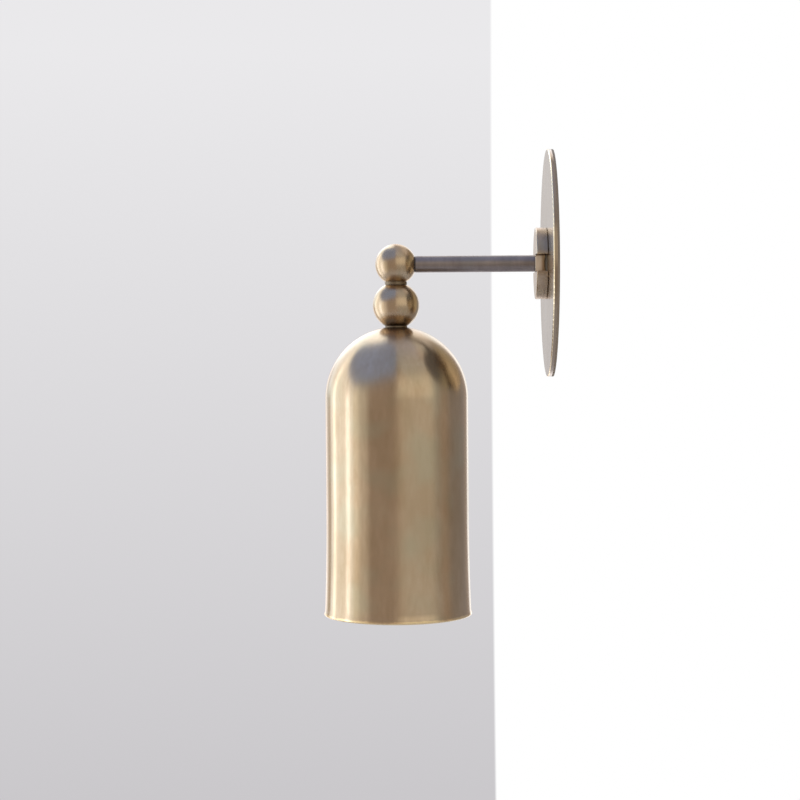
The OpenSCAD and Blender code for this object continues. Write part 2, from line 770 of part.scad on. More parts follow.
module shade_leads() {
    lead_end = core_top + terminal_floor + 0.2;
    turn_z = core_top + core_terminal + 2 * lead_bend + 0.4;
    side_run = core_terminal_x - lead_pitch / 2 - 2 * lead_bend;
    color("#d9d2c2") on_axis(0) for (half = [0, 180]) rotate([0, 0, half])
        translate([lead_pitch / 2, 0, 0]) {
            translate([0, 0, turn_z]) lead_run(stem_top - turn_z);
            translate([0, 0, turn_z]) rotate([180, 0, 0]) lead_turn(lead_bend);
            translate([lead_bend, 0, turn_z - lead_bend]) rotate([0, 90, 0]) lead_run(side_run);
            translate([lead_bend + side_run, 0, turn_z - lead_bend])
                rotate([0, 90, 0]) lead_turn(lead_bend);
            translate([2 * lead_bend + side_run, 0, lead_end])
                lead_run(turn_z - 2 * lead_bend - lead_end);
        }
}

module bulb_foot() {
    color("#26241f") on_axis(base_z) cylinder(d1 = foot_d, d2 = contact_d, h = foot_h);
}

module bulb_base() {
    ridge_r = 1.3;
    ridge_step = 3.6;
    first_ridge = 5;
    ridges = floor((base_h - first_ridge - 2 * ridge_r) / ridge_step) + 1;
    color("#c9ccce") on_axis(base_bottom) rotate_extrude() {
        square([base_d / 2 - ridge_r / 2, base_h]);
        for (i = [0:ridges - 1]) translate([base_d / 2 - ridge_r, first_ridge + i * ridge_step])
            circle(r = ridge_r, $fn = 32);
    }
}

// Radius inside the bulb's collar, at a height above its open end
function collar_inside(h) = collar_r - collar_wall - (collar_r - base_d / 2) * h / (collar_h - collar_roof);

module bulb_collar() {
    color("#f1f0ec") on_axis(collar_bottom) difference() {
        cylinder(r1 = collar_r, r2 = base_d / 2, h = collar_h);
        translate([0, 0, -board_in])
            cylinder(r1 = collar_inside(-board_in), r2 = collar_inside(collar_h - collar_roof),
                     h = collar_h - collar_roof + board_in);
    }
}

module led_board() {
    color("#f4f3ea") on_axis(collar_bottom + board_in) {
        cylinder(r = collar_inside(board_in + board_t) - 0.1, h = board_t);
        for (turn = [0:60:300]) rotate([0, 0, turn])
            translate([(collar_r - chip_w) / 2, -chip_w / 2, -chip_t]) cube([chip_w, chip_w, chip_t]);
    }
}

module bulb_globe() {
    color("#f6f4ee") on_axis(globe_z) difference() {
        sphere(r = globe_r);
        sphere(r = globe_r - globe_wall);
        translate([-globe_r, -globe_r, collar_bottom - globe_z - slide_gap]) cube(bulb_d);
    }
}

wall_gasket();
wall_bracket();
earth_screw();
earth_washer();
terminal_block();
terminal_sleeves();
terminal_screws();
block_screw();
backplate();
plate_studs();
hub();
hub_lock_washer();
hub_nut();
wire_bush();
upper_pivot_screw();
lower_pivot_screw();
pivot_washers();
wall_leads();
arm_knuckle();
arm_tube();
arm_spindle();
spindle_clip();
roll_washer();
arm_leads();
upper_ball();
neck_ring();
spring_washer();
ball_leads();
stem();
lower_ball();
seat_ring();
shade();
cup_washer();
shade_nut();
holder_cap();
holder_core();
core_terminals();
core_screws();
holder_skirt();
screw_shell();
centre_contact();
shade_leads();
bulb_foot();
bulb_base();
bulb_collar();
led_board();
bulb_globe();
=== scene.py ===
"""Wall lamp in aged brass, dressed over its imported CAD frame.

The lamp hangs on a wall in the plane y = 0. Its origin is the middle of the back of its plate, +Z is up
and the lamp stands out along -Y. Lengths in the classes are millimetres, and Blender's are metres.
"""

import logging
import math
from dataclasses import dataclass
from enum import Enum

import bpy
from mathutils import Matrix, Vector


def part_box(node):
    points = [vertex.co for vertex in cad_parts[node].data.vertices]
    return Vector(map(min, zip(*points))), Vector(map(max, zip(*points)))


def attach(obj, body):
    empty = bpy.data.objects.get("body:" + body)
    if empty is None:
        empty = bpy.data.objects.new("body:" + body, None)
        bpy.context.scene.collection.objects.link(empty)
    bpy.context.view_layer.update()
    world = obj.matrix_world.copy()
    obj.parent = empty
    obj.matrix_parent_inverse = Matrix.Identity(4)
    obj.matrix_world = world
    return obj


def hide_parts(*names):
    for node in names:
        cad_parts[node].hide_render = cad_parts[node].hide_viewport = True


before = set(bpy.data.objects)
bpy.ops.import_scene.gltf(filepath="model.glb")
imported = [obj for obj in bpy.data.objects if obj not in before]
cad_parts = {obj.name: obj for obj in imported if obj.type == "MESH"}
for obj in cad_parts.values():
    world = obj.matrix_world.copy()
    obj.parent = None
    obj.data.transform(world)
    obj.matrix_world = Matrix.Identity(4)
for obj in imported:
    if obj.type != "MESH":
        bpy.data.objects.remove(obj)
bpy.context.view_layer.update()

log = logging.getLogger("wall_lamp")
Tree, Node, Socket, Piece = bpy.types.NodeTree, bpy.types.Node, bpy.types.NodeSocket, bpy.types.Object
MM = 0.001
WEAR = "wear"
# The sockets of a Mix node that mixes colours
MIX_A, MIX_B, MIX_OUT = 6, 7, 2
# The weld's reach in metres, and the angles above which an edge is kept sharp or is broken
WELD_REACH = 1e-6
SHARP_ANGLE = math.radians(32)
BROKEN_ANGLE = math.radians(40)


def linear(code: str, strength: float = 1.0) -> tuple[float, float, float, float]:
    """Turns an sRGB hex colour to linear light.

    Args:
        code: The colour as #RRGGBB.
        strength: What the linear colour is multiplied by.

    Returns:
        Red, green, blue and an alpha of 1.
    """
    parts = [int(code[i:i + 2], 16) / 255 for i in (1, 3, 5)]
    light = [p / 12.92 if p <= 0.04045 else ((p + 0.055) / 1.055) ** 2.4 for p in parts]
    return (light[0] * strength, light[1] * strength, light[2] * strength, 1.0)


def per_mm(size: float) -> float:
    """Gives the texture scale at which one feature is size millimetres across, in Object coordinates."""
    return 1 / (size * MM)


def add_node(tree: Tree, kind: str, inputs: dict | None = None, **settings) -> Node:
    """Adds one node with its settings and links.

    Args:
        tree: The node tree that the node goes into.
        kind: The node's type, without the ShaderNode in front.
        inputs: For each input, by name or number, the socket that feeds it or its value.
        **settings: The node's own properties.

    Returns:
        The new node.
    """
    node = tree.nodes.new("ShaderNode" + kind)
    for name, value in settings.items():
        setattr(node, name, value)
    for name, value in (inputs or {}).items():
        if isinstance(value, Socket):
            tree.links.new(value, node.inputs[name])
        else:
            node.inputs[name].default_value = value
    return node


@dataclass(frozen=True)
class Finish:
    """What every finish has: its name, whether it is metal, its refraction if it isn't, and its patterns."""

    name: str
    metallic: float = 0.0
    ior: float = 1.5

    def material(self) -> bpy.types.Material:
        """Makes the finish's material once, and gives the same one after that.

        Returns:
            The material.
        """
        made = bpy.data.materials.get(self.name)
        if made is None:
            made = bpy.data.materials.new(self.name)
            made.use_nodes = True
            shader = made.node_tree.nodes["Principled BSDF"]
            shader.inputs["Metallic"].default_value = self.metallic
            if not self.metallic:
                shader.inputs["IOR"].default_value = self.ior
            self.dress(made.node_tree, shader)
        return made

    def dress(self, tree: Tree, shader: Node) -> None:
        """Adds the finish's patterns to the shader."""


@dataclass(frozen=True)
class PatinaMetal(Finish):
    """Brass or bronze, darkened in a bath, rubbed back by hand and waxed.

    The eye sees soft vertical clouds where the rag took more or less of the brown off, fine slanting rub
    marks, broad gloss that wavers a little, cleaner metal along the edges and darker patina with painted
    shade where parts crowd close.
    Lengths are millimetres and leans are degrees. The marks of a rubbing pad are under half a millimetre
    wide, and are drawn a few times as coarse, so that they show.
    """

    metallic: float = 1.0
    clean: str = "#B79F82"
    aged: str = "#AD9476"
    dark: str = "#A38A6A"
    cool: str = "#A79B7F"
    worn: str = "#D9BC8E"
    # The colour of patina and painted shade in the nooks
    tarnish_and_shade: str = "#5A4E42"
    smooth: float = 0.17
    dull: float = 0.23
    brushed: float = 0.0
    cloud: float = 30.0
    patch: float = 9.0
    squash: float = 0.42
    lean: float = 6.875
    rub: float = 1.6
    rub_length: float = 9.0
    rub_lean: float = 14.0
    rub_height: float = 0.0008
    waver: float = 14.0
    waver_height: float = 0.012
    # How far from other surfaces the patina and painted shade reach
    tarnish_and_shade_reach: float = 3.0
    edge: float = 0.0
    tone_low: float = 0.72
    tone_high: float = 1.24

    def dress(self, tree: Tree, shader: Node) -> None:
        """Mixes the clouds, patches and rub marks into colour, roughness and height."""
        place = add_node(tree, "TexCoord").outputs["Object"]
        tall = add_node(tree, "Mapping", {"Vector": place, "Scale": (1, 1, self.squash),
                                          "Rotation": (math.radians(self.lean), 0, 0)})
        patch = add_node(tree, "TexNoise", {"Vector": tall.outputs[0], "Scale": per_mm(self.patch),
                                            "Detail": 4.0, "Roughness": 0.6})
        slope = add_node(tree, "Mapping", {"Vector": place, "Scale": (1, 1, self.rub / self.rub_length),
                                           "Rotation": (math.radians(self.rub_lean), 0, 0)})
        rub = add_node(tree, "TexNoise", {"Vector": slope.outputs[0], "Scale": per_mm(self.rub),
                                          "Detail": 3.0, "Roughness": 0.65})
        rounding = None
        if self.edge:
            rounding = add_node(tree, "Bevel", {"Radius": self.edge * MM}, samples=8)
        tone = self.tone(tree, tall, patch, rub)
        bare = self.bare(tree, patch, rounding)
        colour = add_node(tree, "Mix", {0: bare, MIX_A: self.patina(tree, place, tone),
                                        MIX_B: linear(self.worn)}, data_type="RGBA")
        # Darkens the nooks with patina and painted shade
        colour = self.darken_tarnish_and_shade(tree, colour.outputs[MIX_OUT])
        tree.links.new(self.trim(tree, colour), shader.inputs["Base Color"])
        gloss = add_node(tree, "MapRange", {"Value": tone, "From Min": self.tone_low,
                                            "From Max": self.tone_high, "To Min": self.dull,
                                            "To Max": self.smooth})
        tree.links.new(gloss.outputs[0], shader.inputs["Roughness"])
        if self.brushed:
            shader.inputs["Anisotropic"].default_value = self.brushed
            shader.inputs["Anisotropic Rotation"].default_value = 0.25
            lathe = add_node(tree, "Tangent", direction_type="RADIAL", axis="Z")
            tree.links.new(lathe.outputs[0], shader.inputs["Tangent"])
        self.relief(tree, shader, tall, rub, rounding)

    def tone(self, tree: Tree, tall: Node, patch: Node, rub: Node) -> Socket:
        """Adds up how much of the brown is off: mostly by the clouds, then the patches and the rub marks.

        Args:
            tree: The material's node tree.
            tall: The coordinates stretched upward.
            patch: The patches' noise.
            rub: The rub marks' noise.

        Returns:
            The tone, low where the metal is dark and high where it is clean.
        """
        cloud = add_node(tree, "TexNoise", {"Vector": tall.outputs[0], "Scale": per_mm(self.cloud),
                                            "Detail": 2.0, "Roughness": 0.5})
        both = add_node(tree, "Math", {0: cloud.outputs[0], 1: 0.9}, operation="MULTIPLY")
        both = add_node(tree, "Math", {0: patch.outputs[0], 1: 0.65, 2: both.outputs[0]},
                        operation="MULTIPLY_ADD")
        tone = add_node(tree, "Math", {0: rub.outputs[0], 1: 0.4, 2: both.outputs[0]},
                        operation="MULTIPLY_ADD")
        return tone.outputs[0]

    def patina(self, tree: Tree, place: Socket, tone: Socket) -> Socket:
        """Turns the tone to browns, with a greener cast here and there.

        Args:
            tree: The material's node tree.
            place: The piece's own coordinates.
            tone: The tone.

        Returns:
            The patina's colour.
        """
        share = add_node(tree, "MapRange", {"Value": tone, "From Min": self.tone_low,
                                            "From Max": self.tone_high})
        ramp = add_node(tree, "ValToRGB", {0: share.outputs[0]})
        ramp.color_ramp.elements[0].color = linear(self.dark)
        ramp.color_ramp.elements[1].color = linear(self.clean)
        ramp.color_ramp.elements.new(0.5).color = linear(self.aged)
        hue = add_node(tree, "TexNoise", {"Vector": place, "Scale": per_mm(self.cloud * 0.7), "Detail": 1.0})
        green = add_node(tree, "MapRange", {"Value": hue.outputs[0], "From Min": 0.48, "From Max": 0.72,
                                            "To Max": 0.55})
        colour = add_node(tree, "Mix", {0: green.outputs[0], MIX_A: ramp.outputs[0],
                                        MIX_B: linear(self.cool)}, data_type="RGBA")
        return colour.outputs[MIX_OUT]

    def bare(self, tree: Tree, patch: Node, rounding: Node | None) -> Socket:
        """Finds where edges are rubbed bare, by a built piece's edge wear or by the node that rounds edges.

        Args:
            tree: The material's node tree.
            patch: The patches' noise, which breaks up the worn edges.
            rounding: The node that rounds the edges, or None.

        Returns:
            The share of bare metal.
        """
        if rounding:
            flat = add_node(tree, "NewGeometry").outputs["Normal"]
            turned = add_node(tree, "VectorMath", {0: rounding.outputs[0], 1: flat}, operation="DOT_PRODUCT")
            rubbed = add_node(tree, "MapRange", {"Value": turned.outputs["Value"], "From Min": 0.98,
                                                 "From Max": 0.86, "To Max": 0.8})
        else:
            edge = add_node(tree, "Attribute", attribute_name=WEAR, attribute_type="GEOMETRY")
            rubbed = add_node(tree, "Math", {0: edge.outputs["Fac"], 1: 1.35}, operation="MULTIPLY")
        rubbed = add_node(tree, "Math", {0: rubbed.outputs[0], 1: patch.outputs[0]}, operation="MULTIPLY")
        share = add_node(tree, "MapRange", {"Value": rubbed.outputs[0], "From Min": 0.3, "From Max": 0.6})
        return share.outputs[0]

    def darken_tarnish_and_shade(self, tree: Tree, colour: Socket) -> Socket:
        """Darkens the colour where parts crowd close: patina in the nooks, and painted shade.

        Args:
            tree: The material's node tree.
            colour: The metal's colour.

        Returns:
            The colour, darkened by patina and painted shade.
        """
        # Painted shade: ambient occlusion darkens the colour near other surfaces, as patina and as shade
        painted_shade_ao = add_node(tree, "AmbientOcclusion", {"Distance": self.tarnish_and_shade_reach * MM}, samples=16)
        unshaded = add_node(tree, "MapRange", {"Value": painted_shade_ao.outputs["AO"], "From Min": 0.05,
                                               "From Max": 0.8})
        mixed = add_node(tree, "Mix", {0: unshaded.outputs[0], MIX_A: linear(self.tarnish_and_shade), MIX_B: colour},
                         data_type="RGBA")
        return mixed.outputs[MIX_OUT]

    def trim(self, tree: Tree, colour: Socket) -> Socket:
        """Lets a finish change the colour along the piece's own edges, and keeps it as it is here."""
        return colour

    def relief(self, tree: Tree, shader: Node, tall: Node, rub: Node, rounding: Node | None) -> None:
        """Adds the slow waver of the hand-rubbed surface and its rub marks.

        Args:
            tree: The material's node tree.
            shader: The shader that takes the relief.
            tall: The coordinates stretched upward.
            rub: The rub marks' noise.
            rounding: The node that rounds the edges, or None.
        """
        waver = add_node(tree, "TexNoise", {"Vector": tall.outputs[0], "Scale": per_mm(self.waver),
                                            "Detail": 1.0})
        slow = add_node(tree, "Bump", {"Height": waver.outputs[0], "Distance": self.waver_height * MM,
                                       "Strength": 1.0})
        if rounding:
            tree.links.new(rounding.outputs[0], slow.inputs["Normal"])
        fine = add_node(tree, "Bump", {"Height": rub.outputs[0], "Distance": self.rub_height * MM,
                                       "Strength": 1.0, "Normal": slow.outputs[0]})
        tree.links.new(fine.outputs[0], shader.inputs["Normal"])


@dataclass(frozen=True)
class DiscMetal(PatinaMetal):
    """The wall plate's brass, browner on its rim, with a painted highlight along its front edge.

    The radius and the front are the plate's own, in millimetres from its axis and from the wall.
    """

    rim: str = "#94816C"
    # The colour of the painted highlight along the front edge
    painted_highlight: str = "#F3DDB4"
    radius: float = 65.0
    front: float = 3.4
    highlight_width: float = 0.75
    rim_start: float = 0.5
    rim_full: float = 0.15

    def trim(self, tree: Tree, colour: Socket) -> Socket:
        """Browns the rim and paints a highlight along its front edge, by the distance from the plate's axis
        and the wall.

        Args:
            tree: The material's node tree.
            colour: The face's colour.

        Returns:
            The colour with the brown rim and the painted highlight.
        """
        place = add_node(tree, "SeparateXYZ", {0: add_node(tree, "TexCoord").outputs["Object"]})
        flat = add_node(tree, "CombineXYZ", {"X": place.outputs[0], "Z": place.outputs[2]})
        out = add_node(tree, "VectorMath", {0: flat.outputs[0]}, operation="LENGTH")
        on_rim = add_node(tree, "MapRange", {"Value": out.outputs["Value"],
                                             "From Min": (self.radius - self.rim_start) * MM,
                                             "From Max": (self.radius - self.rim_full) * MM})
        # Painted highlight: a pale band along the front edge, where its rounding would catch the light
        highlight_band = add_node(tree, "MapRange", {"Value": place.outputs[1],
                                               "From Min": (self.highlight_width - self.front) * MM,
                                               "From Max": (self.highlight_width * 0.6 - self.front) * MM})
        brown = add_node(tree, "Mix", {0: on_rim.outputs[0], MIX_A: colour, MIX_B: linear(self.rim)},
                         data_type="RGBA")
        share = add_node(tree, "Math", {0: on_rim.outputs[0], 1: highlight_band.outputs[0]}, operation="MULTIPLY")
        highlighted = add_node(tree, "Mix", {0: share.outputs[0], MIX_A: brown.outputs[MIX_OUT],
                                       MIX_B: linear(self.painted_highlight)}, data_type="RGBA")
        return highlighted.outputs[MIX_OUT]


class Brass(Enum):
    """The finishes of the lamp's own brass and bronze."""

    # Spun on a lathe: its gloss is drawn out upward, across the fine rings of the tool
    # Its wide reach adds painted shade to the dome's top around the lower ball
    SHADE = PatinaMetal("aged_brass_spun", smooth=0.19, dull=0.26, brushed=0.85, tarnish_and_shade_reach=6.0)
    # Turned balls: smaller clouds, a softer gloss and painted shade beside the necks
    BODY = PatinaMetal("aged_brass_turned", cloud=15.0, patch=5.0, waver=7.0, waver_height=0.01, smooth=0.24,
                       dull=0.31, brushed=0.5, tarnish_and_shade_reach=4.0)
    # The milled hub: flat and a little darker, with edges rubbed bright
    HUB = PatinaMetal("aged_brass_milled", clean="#AB957C", aged="#A18A6F", dark="#967F65", cloud=15.0,
                      patch=5.0, waver=7.0, waver_height=0.003, smooth=0.24, dull=0.31, tarnish_and_shade="#7A6B58",
                      tarnish_and_shade_reach=0.2, edge=0.3)
    # The flat plate: smooth enough to mirror the hub when it is seen from the side
    PLATE = DiscMetal("aged_brass_brushed", clean="#A4937B", aged="#9A886F", dark="#8F7C63", cool="#958973",
                      smooth=0.18, dull=0.23, waver_height=0.002, tarnish_and_shade="#8A7A66", tarnish_and_shade_reach=0.15,
                      edge=0.3)
    # The tongue that slides in the slot: rubbed clean by the swing, and paler than brass as painted light
    # that keeps it bright inside the slot's shade
    RUBBED_AND_LIT = PatinaMetal("rubbed_brass_painted_light", clean="#F0E0CC", aged="#E8D5BE", dark="#DCC7AC", cool="#E2D5BC",
                         worn="#F4E6D0", cloud=8.0, patch=3.0, waver=5.0, waver_height=0.004, smooth=0.27,
                         dull=0.34, tarnish_and_shade="#A8937A", tarnish_and_shade_reach=0.3, edge=0.25)
    # Painted shade: the rings in the necks are dull and dark brown, so the joints stay dark as in shadow
    NECK_SHADE = PatinaMetal("neck_brass_painted_shade", clean="#8B785F", aged="#7D6B54", dark="#6F5E4A", cool="#776A55",
                          worn="#94805F", smooth=0.42, dull=0.55)
    # The drawn tube: the darkest and greyest metal, with an even, satin gloss
    ARM = PatinaMetal("dark_bronze_tube", clean="#94877D", aged="#877B73", dark="#7A6D66", cool="#837B74",
                      worn="#A38E78", smooth=0.36, dull=0.44, cloud=18.0, waver_height=0.003)


@dataclass(frozen=True)
class PlatedMetal(Finish):
    """Steel or brass, rolled or turned and often plated: small soft clouds, grey or yellow, of even gloss."""

    metallic: float = 1.0
    light: str = "#C9CBCC"
    deep: str = "#A9ADB0"
    smooth: float = 0.24
    dull: float = 0.42
    spangle: float = 3.0
    grain: float = 0.35
    grain_height: float = 0.002

    def dress(self, tree: Tree, shader: Node) -> None:
        """Mixes the clouds of the plating with its fine grain, drawn at about twice its real size."""
        place = add_node(tree, "TexCoord").outputs["Object"]
        cloud = add_node(tree, "TexNoise", {"Vector": place, "Scale": per_mm(self.spangle), "Detail": 3.0})
        grain = add_node(tree, "TexNoise", {"Vector": place, "Scale": per_mm(self.grain), "Detail": 2.0})
        share = add_node(tree, "MapRange", {"Value": cloud.outputs[0], "From Min": 0.35, "From Max": 0.65})
        colour = add_node(tree, "Mix", {0: share.outputs[0], MIX_A: linear(self.deep),
                                        MIX_B: linear(self.light)}, data_type="RGBA")
        tree.links.new(colour.outputs[MIX_OUT], shader.inputs["Base Color"])
        gloss = add_node(tree, "MapRange", {"Value": cloud.outputs[0], "From Min": 0.3, "From Max": 0.7,
                                            "To Min": self.smooth, "To Max": self.dull})
        tree.links.new(gloss.outputs[0], shader.inputs["Roughness"])
        bump = add_node(tree, "Bump", {"Height": grain.outputs[0], "Distance": self.grain_height * MM,
                                       "Strength": 1.0})
        tree.links.new(bump.outputs[0], shader.inputs["Normal"])


class Plating(Enum):
    """The finishes of the hidden metal."""

    # Grey with a blue cast, in soft clouds
    ZINC = PlatedMetal("zinc_plated_steel")
    # Darker and more even, as rolled and hardened
    SPRING = PlatedMetal("spring_steel", light="#A7A9AC", deep="#85888C", smooth=0.3)
    # Fresh yellow metal, as it left the lathe
    BRIGHT = PlatedMetal("turned_brass", light="#D9B877", deep="#C29B57", smooth=0.18, dull=0.3,
                         grain_height=0.001)
    # Warm silver with a sharp gloss
    NICKEL = PlatedMetal("nickel_plated_brass", light="#CFCBC2", deep="#BDB8AE", smooth=0.14, dull=0.24)
    # The green that marks the earth
    GREEN = PlatedMetal("green_chromate_steel", light="#4E8A5A", deep="#2F6B45", smooth=0.26, dull=0.4)


@dataclass(frozen=True)
class Moulded(Finish):
    """A moulded, pressed or fired piece: one colour with faint clouds, a fine grain and even gloss."""

    light: str = "#E9E7E0"
    deep: str = "#DEDBD2"
    smooth: float = 0.38
    dull: float = 0.5
    cloud: float = 6.0
    grain: float = 0.6
    grain_height: float = 0.006
    coat: float = 0.0
    depth: float = 0.0

    def dress(self, tree: Tree, shader: Node) -> None:
        """Mixes the clouds into colour and gloss and lays the grain over them."""
        place = add_node(tree, "TexCoord").outputs["Object"]
        cloud = add_node(tree, "TexNoise", {"Vector": place, "Scale": per_mm(self.cloud), "Detail": 4.0})
        grain = add_node(tree, "TexNoise", {"Vector": place, "Scale": per_mm(self.grain), "Detail": 2.0})
        colour = add_node(tree, "Mix", {0: cloud.outputs[0], MIX_A: linear(self.deep),
                                        MIX_B: linear(self.light)}, data_type="RGBA")
        tree.links.new(colour.outputs[MIX_OUT], shader.inputs["Base Color"])
        gloss = add_node(tree, "MapRange", {"Value": cloud.outputs[0], "From Min": 0.3, "From Max": 0.7,
                                            "To Min": self.smooth, "To Max": self.dull})
        tree.links.new(gloss.outputs[0], shader.inputs["Roughness"])
        bump = add_node(tree, "Bump", {"Height": grain.outputs[0], "Distance": self.grain_height * MM,
                                       "Strength": 1.0})
        tree.links.new(bump.outputs[0], shader.inputs["Normal"])
        shader.inputs["Coat Weight"].default_value = self.coat
        if self.depth:
            shader.inputs["Subsurface Weight"].default_value = 1.0
            shader.inputs["Subsurface Scale"].default_value = self.depth * MM


class Insulation(Enum):
    """The finishes of what isn't metal."""

    # Milky white that light enters a little
    NYLON = Moulded("white_nylon", depth=0.8)
    # Waxy off-white
    WASHER = Moulded("acetal_washer", light="#E4E1D8", deep="#D6D2C6", smooth=0.3)
    # Brown-black with a hard gloss from the mould
    PHENOLIC = Moulded("black_phenolic", light="#262321", deep="#1A1817", smooth=0.22, dull=0.34, ior=1.6)
    # Warm white under a clear glaze
    PORCELAIN = Moulded("glazed_porcelain", light="#F1EEE6", deep="#E9E4D9", smooth=0.1, dull=0.16, coat=0.4)
    # Clean white with a satin skin
    COLLAR = Moulded("white_polycarbonate", light="#EFEFEC", deep="#E7E6E2", smooth=0.3, dull=0.4, depth=0.6)
    # The board's white lacquer
    BOARD = Moulded("white_solder_resist", light="#F0F0EC", deep="#E3E4DE", smooth=0.3)
    # Near black and as smooth as it was poured
    FOOT = Moulded("black_glass", light="#14100F", deep="#0C0A0A", smooth=0.06, dull=0.1)
    # White that light sinks deep into
    OPAL = Moulded("opal_glass", light="#F6F4EE", deep="#F1EEE6", smooth=0.1, dull=0.16, grain_height=0.0004,
                   depth=4.0)
    # Brown and matt, with its cells drawn at about twice their real size
    FOAM = Moulded("closed_cell_foam", light="#8C7B66", deep="#7A6A57", smooth=0.85, dull=0.95, grain=0.5,
                   grain_height=0.15)
    # Dark brown pressed paper
    FIBRE = Moulded("vulcanised_fibre", light="#3C332C", deep="#2E2722", smooth=0.5, dull=0.6)
    # Soft cream tubing
    SLEEVING = Moulded("silicone_sleeving", light="#D8D2C4", deep="#C7C0B0", smooth=0.5, dull=0.6)


@dataclass(frozen=True)
class Point:
    """One corner of a turned outline: radius, height and rounding in millimetres, and edge wear up to 1."""

    r: float
    h: float
    fillet: float = 0.0
    wear: float = 0.0


def rounded(points: list[Point], steps: int = 5) -> list[Point]:
    """Rounds the corners of a closed outline.

    Args:
        points: The outline's corners in order.
        steps: How many edges a rounding has.

    Returns:
        The outline with an arc in place of each corner that has a fillet.
    """
    made = []
    for i, here in enumerate(points):
        if not here.fillet:
            made.append(here)
            continue
        corner = Vector((here.r, here.h))
        before = Vector((points[i - 1].r, points[i - 1].h)) - corner
        after = Vector((points[(i + 1) % len(points)].r, points[(i + 1) % len(points)].h)) - corner
        half = before.angle(after) / 2
        reach = min(here.fillet / math.tan(half), before.length * 0.49, after.length * 0.49)
        radius = reach * math.tan(half)
        centre = corner + (before.normalized() + after.normalized()).normalized() * radius / math.sin(half)
        start = corner + before.normalized() * reach - centre
        stop = corner + after.normalized() * reach - centre
        for k in range(steps + 1):
            spoke = start.slerp(stop, k / steps)
            made.append(Point(centre.x + spoke.x, centre.y + spoke.y, 0.0, here.wear))
    return made


def turn(name: str, outline: list[Point], axis: Vector, origin: Vector, segments: int = 96) -> Piece:
    """Turns a closed outline about an axis.

    Args:
        name: The new object's name.
        outline: The outline's points in order, with radii above zero, or zero at points on the axis.
        axis: The direction in which the outline's heights grow.
        origin: The axis point at height zero, in millimetres.
        segments: How many faces go round.

    Returns:
        The new object, smooth but for its sharp edges, with its edge wear as an attribute.
    """
    turned = Vector((0, 0, 1)).rotation_difference(axis).to_matrix()
    vertices, wears, rings = [], [], []
    for point in outline:
        count = segments if point.r > 0 else 1
        rings.append(range(len(vertices), len(vertices) + count))
        for k in range(count):
            a = math.tau * k / segments
            place = turned @ Vector((point.r * math.cos(a), point.r * math.sin(a), point.h)) + origin
            vertices.append(place * MM)
            wears.append(point.wear)
    faces = []
    for i, ring in enumerate(rings):
        below = rings[i - 1]
        for k in range(segments):
            j = (k + 1) % segments
            quad = [below[k % len(below)], below[j % len(below)], ring[j % len(ring)], ring[k % len(ring)]]
            face = list(dict.fromkeys(quad))
            if len(face) > 2:
                faces.append(face)
    mesh = bpy.data.meshes.new(name)
    mesh.from_pydata(vertices, [], faces)
    mesh.validate()
    mesh.attributes.new(WEAR, "FLOAT", "POINT").data.foreach_set("value", wears)
    mesh.shade_smooth()
    mesh.set_sharp_from_angle(angle=SHARP_ANGLE)
    made = bpy.data.objects.new(name, mesh)
    bpy.context.scene.collection.objects.link(made)
    return made


def carve(piece: Piece, how: str, tool: Piece) -> None:
    """Joins a tool to a piece or cuts it out, and deletes the tool.

    Args:
        piece: The piece.
        how: UNION or DIFFERENCE.
        tool: The tool.
    """
    cut = piece.modifiers.new("cut", "BOOLEAN")
    cut.operation, cut.solver, cut.object = how, "EXACT", tool
    bpy.context.view_layer.update()
    shaped = bpy.data.meshes.new_from_object(piece.evaluated_get(bpy.context.evaluated_depsgraph_get()))
    piece.modifiers.clear()
    piece.data = shaped
    bpy.data.objects.remove(tool)


def fit_piece(piece: Piece, finish: Finish, body: str, slot: str, *nodes: str) -> None:
    """Dresses a new piece and puts it in the place of its CAD nodes.

    Args:
        piece: The new piece.
        finish: Its finish.
        body: The CAD body that it rides on.
        slot: The record's material slot; not used.
        *nodes: The CAD nodes that it stands for.
    """
    piece.data.materials.clear()
    piece.data.materials.append(finish.material())
    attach(piece, body)
    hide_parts(*nodes)
    log.info("%s: %d faces, %s, rides on %s", piece.name, len(piece.data.polygons), finish.name, body)


def dress_node(name: str, finish: Finish, bevel: float = 0.0) -> None:
    """Gives a carried-over CAD node its finish, and breaks its sharp edges as a file would.

    Args:
        name: The CAD node.
        finish: Its finish.
        bevel: The width of the broken edges in millimetres, or 0 for none.
    """
    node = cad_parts[name]
    for i in range(len(node.data.materials)):
        node.data.materials[i] = finish.material()
    if bevel:
        weld = node.modifiers.new("weld", "WELD")
        weld.merge_threshold = WELD_REACH
        edges = node.modifiers.new("edges", "BEVEL")
        edges.width = bevel * MM
        edges.segments = 2
        edges.limit_method = "ANGLE"
        edges.angle_limit = BROKEN_ANGLE
        edges.use_clamp_overlap = True
        smooth = node.modifiers.new("smooth", "WEIGHTED_NORMAL")
        smooth.keep_sharp = False
    log.info("%s: CAD node, %s", name, finish.name)


